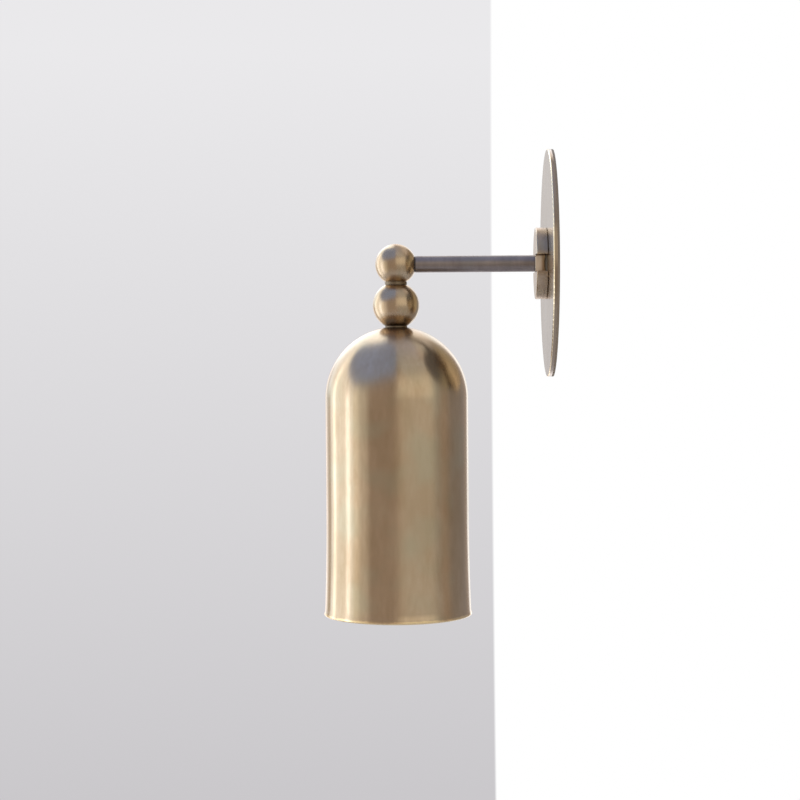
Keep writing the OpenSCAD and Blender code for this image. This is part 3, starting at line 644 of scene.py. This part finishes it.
@dataclass
class WallSide:
    """What stays on the wall: plate, gasket, bracket, terminal block, hub and its clamp."""

    plate_edge: float = 0.35
    nut_edge: float = 0.2
    small_edge: float = 0.15
    screw_edge: float = 0.08

    def build(self) -> None:
        """Dresses the plate's side of the lamp."""
        dress_node("backplate", Brass.PLATE.value, self.plate_edge)
        dress_node("hub", Brass.HUB.value, self.small_edge)
        for name in ("upper_pivot_screw", "lower_pivot_screw"):
            dress_node(name, Brass.BODY.value)
        dress_node("wall_gasket", Insulation.FOAM.value)
        dress_node("wall_bracket", Plating.ZINC.value, self.small_edge)
        for name in ("earth_washer", "terminal_screws", "block_screw", "plate_studs", "hub_lock_washer"):
            dress_node(name, Plating.ZINC.value, self.screw_edge)
        dress_node("earth_screw", Plating.GREEN.value, self.screw_edge)
        dress_node("terminal_sleeves", Plating.BRIGHT.value, 0.1)
        dress_node("hub_nut", Plating.BRIGHT.value, self.nut_edge)
        dress_node("terminal_block", Insulation.NYLON.value, self.nut_edge)
        dress_node("wire_bush", Insulation.NYLON.value, self.small_edge)
        dress_node("pivot_washers", Insulation.WASHER.value)
        dress_node("wall_leads", Insulation.SLEEVING.value)


@dataclass
class SwingArm:
    """The arm: its knuckle in the hub's slot, the tube and the spindle that carries the balls.

    The pivot and the shoulder are places on the Y axis, and the rest are widths, depths and bores.
    """

    body: str = "arm"
    pivot_y: float = -6.7
    shoulder_y: float = -10.0
    width: float = 9.5
    chamfer: float = 0.3
    pivot_hole: float = 3.1
    washer_seat: float = 6.2
    seat_depth: float = 0.45
    wire_bore: float = 4.0
    plug: float = 7.46
    overlap: float = 0.5
    past: float = 1.0
    round_steps: int = 32
    bore_steps: int = 48
    tube_edge: float = 0.2

    def tongue(self) -> Piece:
        """Builds the flat tongue with its round end in plan and its broken edges.

        Returns:
            The tongue, still solid.
        """
        half = self.width / 2
        rings = []
        for inset, height in ((self.chamfer, -half), (0.0, -half + self.chamfer),
                              (0.0, half - self.chamfer), (self.chamfer, half)):
            radius = half - inset
            plan = [(-radius, self.shoulder_y), (radius, self.shoulder_y)]
            turns = [math.pi * k / self.round_steps for k in range(self.round_steps + 1)]
            plan += [(radius * math.cos(a), self.pivot_y + radius * math.sin(a)) for a in turns]
            rings.append([Vector((x, y, height)) * MM for x, y in plan])
        count = len(rings[0])
        vertices = [place for ring in rings for place in ring]
        faces = [list(range(count))[::-1], list(range(3 * count, 4 * count))]
        for level in range(3):
            for k in range(count):
                j = (k + 1) % count
                faces.append([level * count + k, level * count + j, (level + 1) * count + j,
                              (level + 1) * count + k])
        mesh = bpy.data.meshes.new("knuckle")
        mesh.from_pydata(vertices, [], faces)
        made = bpy.data.objects.new("knuckle", mesh)
        bpy.context.scene.collection.objects.link(made)
        return made

    def knuckle(self) -> None:
        """Adds the plug to the tongue, and bores it for the pivot, the washers and the leads."""
        low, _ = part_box("arm_knuckle")
        plug_end = -low.y / MM
        piece = self.tongue()
        out, up = Vector((0, -1, 0)), Vector((0, 0, 1))
        wall, pivot = Vector((0, 0, 0)), Vector((0, self.pivot_y, 0))
        half = self.width / 2
        seat = half - self.seat_depth
        tools = [
            ("UNION", self.plug / 2, out, wall, -self.shoulder_y - self.overlap, plug_end),
            ("DIFFERENCE", self.wire_bore / 2, out, wall, self.past, plug_end + self.past),
            ("DIFFERENCE", self.pivot_hole / 2, up, pivot, -half - self.past, half + self.past),
            ("DIFFERENCE", self.washer_seat / 2, up, pivot, seat, half + self.past),
            ("DIFFERENCE", self.washer_seat / 2, up, pivot, -half - self.past, -seat),
        ]
        for how, radius, axis, origin, start, stop in tools:
            outline = [Point(0, start), Point(radius, start), Point(radius, stop), Point(0, stop)]
            carve(piece, how, turn("tool", outline, axis, origin, self.bore_steps))
        piece.data.shade_smooth()
        piece.data.set_sharp_from_angle(angle=SHARP_ANGLE)
        # The tongue's pale finish is painted light against the slot's shade
        fit_piece(piece, Brass.RUBBED_AND_LIT.value, self.body, "aged_brass", "arm_knuckle")

    def build(self) -> None:
        """Builds the knuckle and dresses the arm."""
        self.knuckle()
        dress_node("arm_tube", Brass.ARM.value, self.tube_edge)
        dress_node("arm_spindle", Plating.BRIGHT.value)
        dress_node("spindle_clip", Plating.SPRING.value)
        dress_node("roll_washer", Insulation.FIBRE.value)
        dress_node("arm_leads", Insulation.SLEEVING.value)


@dataclass
class UpperBall:
    """The ball at the arm's end, and the neck that the shade's stem turns in."""

    def build(self) -> None:
        """Dresses the upper ball."""
        dress_node("upper_ball", Brass.BODY.value)
        # The neck ring wears the painted-shade brass
        dress_node("neck_ring", Brass.NECK_SHADE.value)
        dress_node("spring_washer", Plating.SPRING.value)
        dress_node("ball_leads", Insulation.SLEEVING.value)


@dataclass
class ShadeHead:
    """What turns with the shade: the lower ball, the stem, the shade itself, the lampholder and the bulb.

    The radius and the hole are the outside's. The flare is how far the side opens over the flare's height.
    """

    body: str = "shade_head"
    wall: float = 1.2
    radius: float = 41.2
    hole: float = 4.02
    flare: float = 1.2
    flare_height: float = 62.0
    lip: float = 0.55
    lip_height: float = 6.0
    lip_lean: float = 0.05
    ring_rise: float = 0.3
    holder_edge: float = 0.2
    screw_edge: float = 0.08
    arc_steps: int = 48
    side_steps: int = 6
    flare_steps: int = 24
    turn_steps: int = 240
    axis_y: float = -90.0

    def dome(self, radius: float, centre: float, wear: float = 0.0) -> list[Point]:
        """Gives the dome's arc from the hole to the side.

        Args:
            radius: The dome's radius.
            centre: The height of its centre.
            wear: The edge wear of its first point.

        Returns:
            The arc's points, from the top down.
        """
        start = math.asin(self.hole / radius)
        turns = [start + (math.pi / 2 - start) * k / self.arc_steps for k in range(self.arc_steps + 1)]
        return [Point(radius * math.sin(a), centre + radius * math.cos(a), 0.0, wear if a == start else 0.0)
                for a in turns]

    def side(self, radius: float, top: float, bottom: float) -> list[Point]:
        """Gives the side below the dome, straight and then flared.

        Args:
            radius: The side's radius at its top.
            top: The height of the dome's centre.
            bottom: The height of the rim.

        Returns:
            The side's points, from the top down, without the first and the last.
        """
        knee = bottom + self.flare_height
        made = [Point(radius, top + (knee - top) * k / self.side_steps) for k in range(1, self.side_steps)]
        for k in range(self.flare_steps):
            part = k / self.flare_steps
            made.append(Point(radius + self.flare * part ** 2, knee - self.flare_height * part))
        return made

    def shade(self) -> None:
        """Spins the shade with its rolled lip."""
        low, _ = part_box("shade")
        bottom = low.z / MM
        _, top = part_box("seat_ring")
        dome_centre = top.z / MM - self.ring_rise - self.radius
        inner = self.radius - self.wall
        outside = self.dome(self.radius, dome_centre) + self.side(self.radius, dome_centre, bottom)
        inside = self.dome(inner, dome_centre) + self.side(inner, dome_centre, bottom)
        lips = rounded([
            Point(inner + self.flare - self.lip_lean, bottom + self.lip_height),
            Point(self.radius + self.flare - self.lip_lean, bottom + self.lip_height),
            Point(self.radius + self.flare, bottom, self.lip, 1.0),
            Point(inner + self.flare, bottom, self.lip, 0.8),
        ])[2:]
        outline = outside + lips + inside[::-1]
        piece = turn("spun_shade", outline, Vector((0, 0, 1)), Vector((0, self.axis_y, 0)), self.turn_steps)
        fit_piece(piece, Brass.SHADE.value, self.body, "aged_brass_shade", "shade")

    def build(self) -> None:
        """Builds and dresses everything that turns with the shade."""
        self.shade()
        dress_node("lower_ball", Brass.BODY.value)
        # The seat ring wears the painted-shade brass
        dress_node("seat_ring", Brass.NECK_SHADE.value)
        dress_node("stem", Plating.BRIGHT.value)
        dress_node("shade_nut", Plating.BRIGHT.value, self.holder_edge)
        dress_node("cup_washer", Plating.ZINC.value)
        dress_node("holder_cap", Insulation.PHENOLIC.value, self.holder_edge)
        dress_node("holder_skirt", Insulation.PHENOLIC.value, self.holder_edge)
        dress_node("holder_core", Insulation.PORCELAIN.value, self.holder_edge)
        for name in ("core_terminals", "screw_shell", "centre_contact"):
            dress_node(name, Plating.BRIGHT.value)
        dress_node("core_screws", Plating.ZINC.value, self.screw_edge)
        dress_node("shade_leads", Insulation.SLEEVING.value)
        dress_node("bulb_foot", Insulation.FOOT.value)
        dress_node("bulb_base", Plating.NICKEL.value)
        dress_node("bulb_collar", Insulation.COLLAR.value)
        dress_node("led_board", Insulation.BOARD.value)
        dress_node("bulb_globe", Insulation.OPAL.value)


@dataclass(frozen=True)
class Panel:
    """A soft box, window or screen of the studio, as the lamp sees it.

    Bearings are degrees from the camera's side towards the wall, and heights are degrees above the horizon.
    The blurs are how softly its sides and ends fade, and the slant is how much it climbs for a degree aside.
    """

    name: str
    colour: str
    strength: float
    left: float
    right: float
    low: float
    high: float
    side_blur: float = 4.0
    end_blur: float = 4.0
    slant: float = 0.0


@dataclass
class Studio:
    """The plain pale room: its soft light, its floor and the camera.

    Places are millimetres. The corner, the room's low and high ends and the backdrop's edges are parts of a
    view direction of length 1: along the wall's normal, upward, and away from the camera.
    """

    room_top: str = "#EAE9EB"
    room_bottom: str = "#CAC8CB"
    backdrop: str = "#FFFFFF"
    corner: float = 0.0317
    corner_blur: float = 0.0006
    room_low: float = -0.24
    room_high: float = 0.14
    backdrop_edge: float = 0.93
    backdrop_full: float = 0.98
    room: str = "#FFF4EE"
    room_strength: float = 0.56
    panels: tuple[Panel, ...] = (
        Panel("above", "#D6E0FF", 1.05, -180, 180, 62, 130, 1, 10),
        Panel("right", "#F5FAFF", 0.66, 10, 74, -70, 62, 10, 10),
        Panel("right_glow", "#FFFFFA", 1.2, 2, 64, -1.5, 36, 9, 4),
        Panel("right_high", "#E4EEFF", 1.06, 10, 70, 44, 68, 8, 8),
        Panel("wall", "#F1F3FF", 0.49, 92, 140, -70, 14, 10, 8),
        Panel("wall_middle", "#FFF0D8", 0.48, 92, 150, 12, 42, 10, 6),
        Panel("wall_high", "#F4F6FF", 1.15, 84, 150, 43, 66, 8, 5),
        Panel("behind_right", "#F6FAFF", 2.1, 155, 178, -50, 50, 4, 8),
        Panel("behind_left", "#F8F4F6", 2.05, -186, -150, -70, 46, 8, 8),
        Panel("left_fall", "#FFFFFF", 1.0, -68, -47, -60, 16, 6, 6),
        Panel("left_side", "#FCFFFF", 1.6, -82, -63, -60, 16, 5, 6),
        Panel("sky", "#AAC4FF", 1.07, -150, 1, 18, 140, 3, 7, 0.26),
        Panel("behind_left_high", "#E2F0FF", 3.4, -171, -136, 10, 66, 6, 8),
        Panel("window", "#E6F2FF", 2.4, -146, -74, -60, 33, 4, 5, -0.48),
        Panel("window_bar_left", "#E8F2FF", 4.3, -123, -116, -60, 28, 2, 6),
        Panel("window_bar_right", "#DCE8FF", 4.8, -89, -81, -60, 5, 2, 6),
        Panel("window_frame", "#FFF0D8", 0.7, -146, -133, -60, 1, 3, 5),
        Panel("window_reveal", "#FFFAF4", 1.3, -156, -148, -60, 14, 3, 6),
    )
    floor_height: float = -640.0
    floor_radius: float = 1250.0
    floor_fade: float = 0.4
    floor_colour: str = "#E6E4E2"
    wall_y: float = 0.2
    wall_wide: float = 260.0
    wall_high: float = 110.0
    eye: tuple[float, float, float] = (1100.0, -70.0, -35.1)
    target: tuple[float, float, float] = (0.0, -88.1, -78.0)
    roll: float = -0.4
    near: float = 50.0
    sensor: float = 36.0
    focal_pixels: float = 1909.5
    image_pixels: float = 800.0

    def panel_share(self, tree: Tree, panel: Panel, bearing: Node, height: Node) -> Socket:
        """Finds how much of a panel is in each direction.

        Args:
            tree: The world's node tree.
            panel: The panel.
            bearing: The direction's bearing in degrees.
            height: The direction's height in degrees.

        Returns:
            1 inside the panel, 0 outside it and a soft step between.
        """
        middle, half = (panel.left + panel.right) / 2, (panel.right - panel.left) / 2
        centre, reach = (panel.low + panel.high) / 2, (panel.high - panel.low) / 2
        aside = add_node(tree, "Math", {0: bearing.outputs[0], 1: middle}, operation="SUBTRACT")
        aside = add_node(tree, "Math", {0: aside.outputs[0], 1: -180.0, 2: 180.0}, operation="WRAP")
        climb = add_node(tree, "Math", {0: aside.outputs[0], 1: -panel.slant, 2: height.outputs[0]},
                         operation="MULTIPLY_ADD")
        above = add_node(tree, "Math", {0: climb.outputs[0], 1: centre}, operation="SUBTRACT")
        above = add_node(tree, "Math", {0: above.outputs[0]}, operation="ABSOLUTE")
        aside = add_node(tree, "Math", {0: aside.outputs[0]}, operation="ABSOLUTE")
        across = add_node(tree, "MapRange", {"Value": aside.outputs[0], "From Min": half + panel.side_blur,
                                             "From Max": half - panel.side_blur},
                          interpolation_type="SMOOTHSTEP")
        along = add_node(tree, "MapRange", {"Value": above.outputs[0], "From Min": reach + panel.end_blur,
                                            "From Max": reach - panel.end_blur},
                         interpolation_type="SMOOTHSTEP")
        share = add_node(tree, "Math", {0: across.outputs[0], 1: along.outputs[0]}, operation="MULTIPLY")
        return share.outputs[0]

    def soft_light(self, tree: Tree, way: Node) -> Node:
        """Paints the room and its panels, as they light the lamp.

        Args:
            tree: The world's node tree.
            way: The view direction's parts.

        Returns:
            The light's background node.
        """
        bearing = add_node(tree, "Math", {0: way.outputs[1], 1: way.outputs[0]}, operation="ARCTAN2")
        bearing = add_node(tree, "Math", {0: bearing.outputs[0]}, operation="DEGREES")
        height = add_node(tree, "Math", {0: way.outputs[2]}, operation="ARCSINE")
        height = add_node(tree, "Math", {0: height.outputs[0]}, operation="DEGREES")
        seen = linear(self.room, self.room_strength)
        for panel in self.panels:
            mixed = add_node(tree, "Mix", {0: self.panel_share(tree, panel, bearing, height), MIX_A: seen,
                                           MIX_B: linear(panel.colour, panel.strength)}, data_type="RGBA",
                             label=panel.name)
            seen = mixed.outputs[MIX_OUT]
        return add_node(tree, "Background", {"Color": seen, "Strength": 1.0})

    def plain_room(self, tree: Tree, way: Node) -> Node:
        """Paints the backdrop: a grey wall that is lighter at its top, and white beyond the room's corner.

        Args:
            tree: The world's node tree.
            way: The view direction's parts.

        Returns:
            The backdrop's background node.
        """
        fall = add_node(tree, "MapRange", {"Value": way.outputs[2], "From Min": self.room_low,
                                           "From Max": self.room_high})
        grey = add_node(tree, "Mix", {0: fall.outputs[0], MIX_A: linear(self.room_bottom),
                                      MIX_B: linear(self.room_top)}, data_type="RGBA")
        white = add_node(tree, "MapRange", {"Value": way.outputs[1],
                                            "From Min": self.corner - self.corner_blur,
                                            "From Max": self.corner + self.corner_blur})
        pale = add_node(tree, "Mix", {0: white.outputs[0], MIX_A: grey.outputs[MIX_OUT],
                                      MIX_B: linear(self.backdrop)}, data_type="RGBA")
        return add_node(tree, "Background", {"Color": pale.outputs[MIX_OUT], "Strength": 1.0})

    def light(self) -> None:
        """Lights the lamp by the panels, and shows the backdrop to the camera.

        Metal and glass mirror the backdrop too, in the directions that the camera looks in.
        """
        world = bpy.data.worlds.new("studio")
        bpy.context.scene.world = world
        world.use_nodes = True
        tree = world.node_tree
        tree.nodes.clear()
        way = add_node(tree, "SeparateXYZ", {0: add_node(tree, "TexCoord").outputs["Generated"]})
        room, plain = self.soft_light(tree, way), self.plain_room(tree, way)
        rays = add_node(tree, "LightPath").outputs
        ahead = add_node(tree, "MapRange", {"Value": way.outputs[0], "From Min": -self.backdrop_edge,
                                            "From Max": -self.backdrop_full})
        mirrored = add_node(tree, "Math", {0: rays["Is Glossy Ray"], 1: rays["Is Transmission Ray"]},
                            operation="MAXIMUM")
        mirrored = add_node(tree, "Math", {0: mirrored.outputs[0], 1: ahead.outputs[0]}, operation="MULTIPLY")
        shown = add_node(tree, "Math", {0: rays["Is Camera Ray"], 1: mirrored.outputs[0]},
                         operation="MAXIMUM")
        both = add_node(tree, "MixShader", {0: shown.outputs[0], 1: room.outputs[0], 2: plain.outputs[0]})
        add_node(tree, "OutputWorld", {"Surface": both.outputs[0]})
        log.info("studio: %d panels", len(self.panels))

    def sheet(self, name: str, corners: list[Vector]) -> Piece:
        """Makes one flat sheet for the room.

        Args:
            name: The sheet's name.
            corners: Its corners in order, in millimetres.

        Returns:
            The sheet.
        """
        mesh = bpy.data.meshes.new(name)
        mesh.from_pydata([corner * MM for corner in corners], [], [list(range(len(corners)))])
        piece = bpy.data.objects.new(name, mesh)
        bpy.context.scene.collection.objects.link(piece)
        return piece

    def floor(self) -> None:
        """Lays a pale round floor that fades into the backdrop and keeps the lamp's shadow."""
        middle = Vector((0, -90.0, self.floor_height))
        piece = self.sheet("floor", [
            middle + Vector((math.cos(math.tau * k / 96), math.sin(math.tau * k / 96), 0)) * self.floor_radius
            for k in range(96)])
        material = bpy.data.materials.new("painted_floor")
        material.use_nodes = True
        tree = material.node_tree
        shader = tree.nodes["Principled BSDF"]
        shader.inputs["Base Color"].default_value = linear(self.floor_colour)
        shader.inputs["Roughness"].default_value = 0.9
        place = add_node(tree, "TexCoord").outputs["Object"]
        out = add_node(tree, "VectorMath", {0: place, 1: middle * MM}, operation="DISTANCE")
        fade = add_node(tree, "MapRange", {"Value": out.outputs["Value"], "From Min": self.floor_radius * MM,
                                           "From Max": self.floor_radius * MM * self.floor_fade},
                        interpolation_type="SMOOTHSTEP")
        tree.links.new(fade.outputs[0], shader.inputs["Alpha"])
        piece.data.materials.append(material)
        log.info("floor: %.2f m across", self.floor_radius * 2 * MM)

    def wall(self) -> None:
        """Hangs a patch of wall in the backdrop's colour, so that what sits in the wall box doesn't show.

        Only the camera sees it, and only from the room, so views from behind show the back of the lamp.
        """
        piece = self.sheet("wall", [Vector((x, self.wall_y, z)) for x, z in (
            (-self.wall_wide, -self.wall_high), (self.wall_wide, -self.wall_high),
            (self.wall_wide, self.wall_high), (-self.wall_wide, self.wall_high))])
        material = bpy.data.materials.new("painted_wall")
        material.use_nodes = True
        tree = material.node_tree
        tree.nodes.clear()
        behind = add_node(tree, "NewGeometry").outputs["Backfacing"]
        plain = add_node(tree, "Emission", {"Color": linear(self.backdrop)})
        clear = add_node(tree, "BsdfTransparent")
        both = add_node(tree, "MixShader", {0: behind, 1: plain.outputs[0], 2: clear.outputs[0]})
        add_node(tree, "OutputMaterial", {"Surface": both.outputs[0]})
        piece.data.materials.append(material)
        for ray in ("diffuse", "glossy", "transmission", "volume_scatter", "shadow"):
            setattr(piece, "visible_" + ray, False)
        log.info("wall: %.2f m wide", self.wall_wide * 2 * MM)

    def camera(self) -> None:
        """Sets the camera at the photograph's place, with its slight roll."""
        data = bpy.data.cameras.new("camera")
        data.sensor_width = self.sensor
        data.lens = self.sensor * self.focal_pixels / self.image_pixels
        data.clip_start = self.near * MM
        made = bpy.data.objects.new("camera", data)
        bpy.context.scene.collection.objects.link(made)
        eye, target = Vector(self.eye) * MM, Vector(self.target) * MM
        turned = (target - eye).to_track_quat("-Z", "Y").to_matrix()
        made.matrix_world = Matrix.Translation(eye) @ (turned @ Matrix.Rotation(
            math.radians(self.roll), 3, "Z")).to_4x4()
        bpy.context.scene.camera = made
        log.info("camera: lens %.1f mm", data.lens)

    def build(self) -> None:
        """Sets up the room and the view."""
        self.camera()
        self.light()
        self.floor()
        self.wall()
        bpy.context.scene.view_settings.view_transform = "Standard"


def main() -> None:
    """Builds the studio and the lamp's sub-assemblies in order."""
    logging.basicConfig(level=logging.INFO, format="%(name)s %(message)s")
    for part in (Studio(), WallSide(), SwingArm(), UpperBall(), ShadeHead()):
        part.build()


if __name__ == "__main__":
    main()
